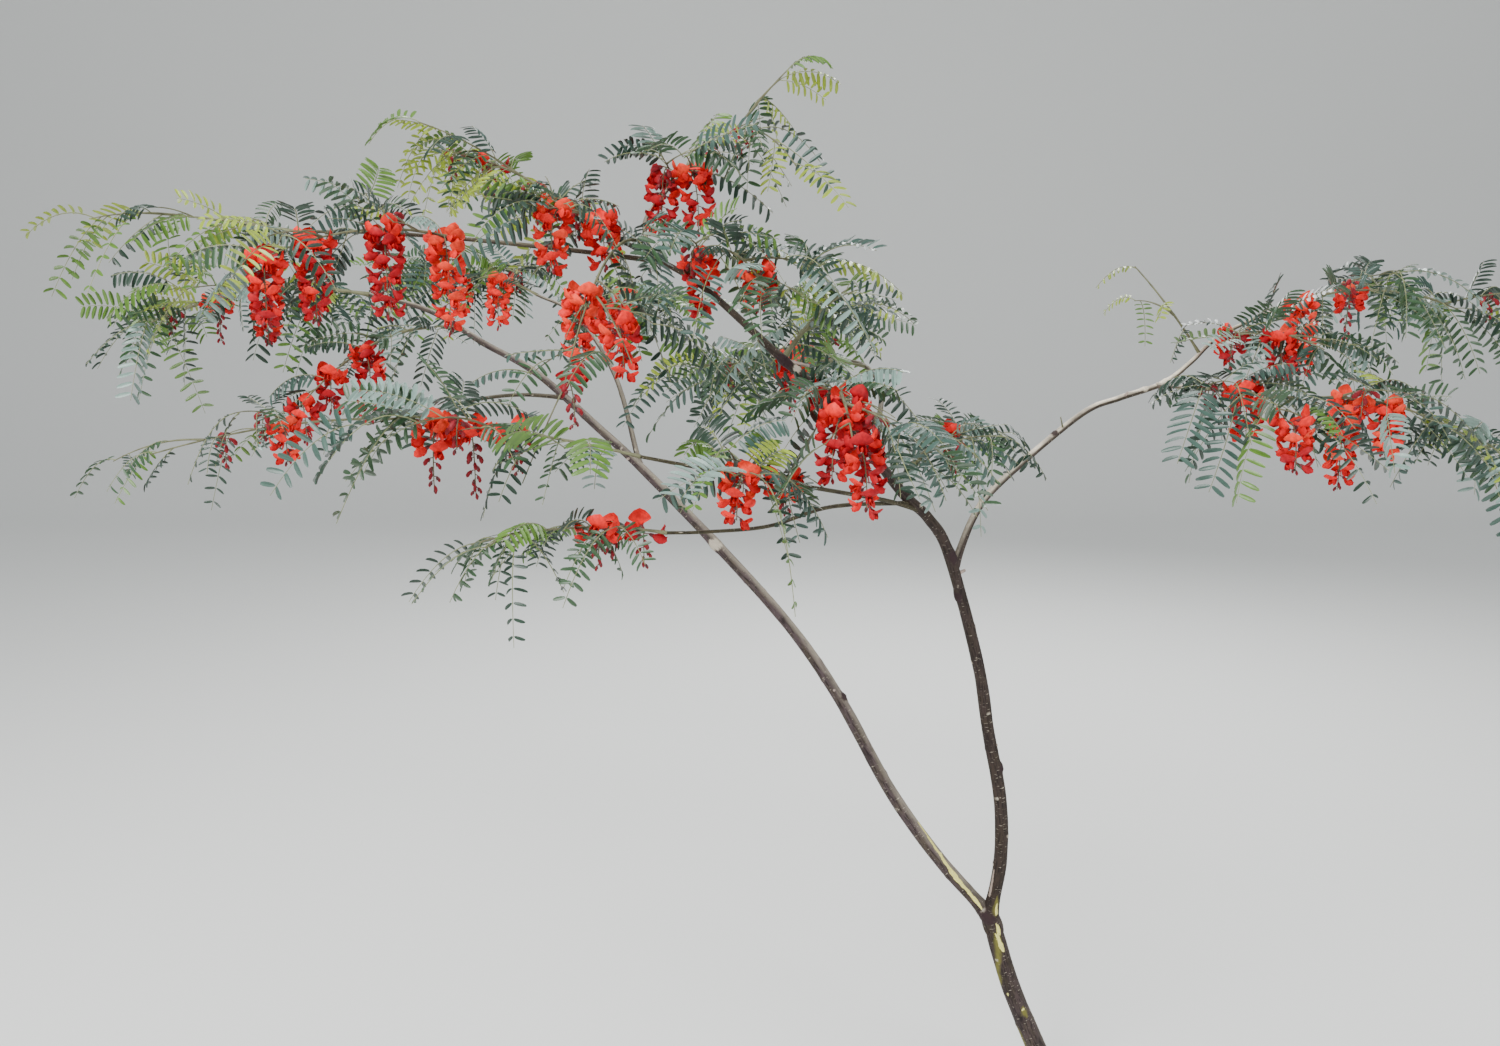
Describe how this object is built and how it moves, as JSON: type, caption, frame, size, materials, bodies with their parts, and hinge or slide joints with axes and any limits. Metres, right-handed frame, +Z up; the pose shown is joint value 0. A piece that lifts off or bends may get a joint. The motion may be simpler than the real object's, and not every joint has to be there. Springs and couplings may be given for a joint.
{
  "type": "rattlebox shrub",
  "caption": "Slender flowering shrub rooted in the ground: a leaning trunk forks into long arching boughs with feathery leaves and hanging racemes of red flowers.",
  "frame": {"origin": "middle of the flat cut under the trunk, at ground level", "axes": "+Z up, +X to the right as the picture shows it, along the crown's spread, +Y away from the viewer"},
  "size_m": [2.7363, 1.4855, 1.7968],
  "materials": {
    "bark": "matt smooth bark with lenticels",
    "twig": "matt green-brown young bark",
    "foliage": "satin grey-green leaf",
    "young_foliage": "satin yellow-green leaf",
    "blossom": "soft satin petal",
    "bud": "matt dark red calyx and bud"
  },
  "bodies": {
    "root": {"trunk": "bark", "left_leader_low": "bark", "left_leader_high": "bark", "left_leader_tip": "bark", "right_leader_low": "bark", "right_leader_high": "bark", "right_leader_tip": "bark", "right_bough": "bark", "right_high_bough": "bark", "right_low_bough": "bark", "front_bough": "bark", "front_low_bough": "bark", "left_low_bough": "bark", "far_left_bough": "bark", "top_bough": "bark", "back_left_bough": "bark", "back_right_bough": "bark", "left_tip_foliage": "foliage", "left_high_foliage": "foliage", "left_middle_foliage": "foliage", "left_inner_foliage": "foliage", "left_low_foliage": "foliage", "upper_left_foliage": "foliage", "top_foliage": "foliage", "top_right_foliage": "foliage", "crown_left_foliage": "foliage", "crown_right_foliage": "foliage", "arch_left_foliage": "foliage", "arch_right_foliage": "foliage", "centre_right_foliage": "foliage", "inner_right_foliage": "foliage", "centre_front_foliage": "foliage", "front_middle_foliage": "foliage", "front_low_foliage": "foliage", "centre_low_foliage": "foliage", "right_small_foliage": "foliage", "right_high_foliage": "foliage", "right_middle_foliage": "foliage", "right_low_foliage": "foliage", "right_under_foliage": "foliage", "back_left_foliage": "foliage", "back_middle_foliage": "foliage", "back_right_foliage": "foliage", "back_side_foliage": "foliage"}
  },
  "joints": []
}
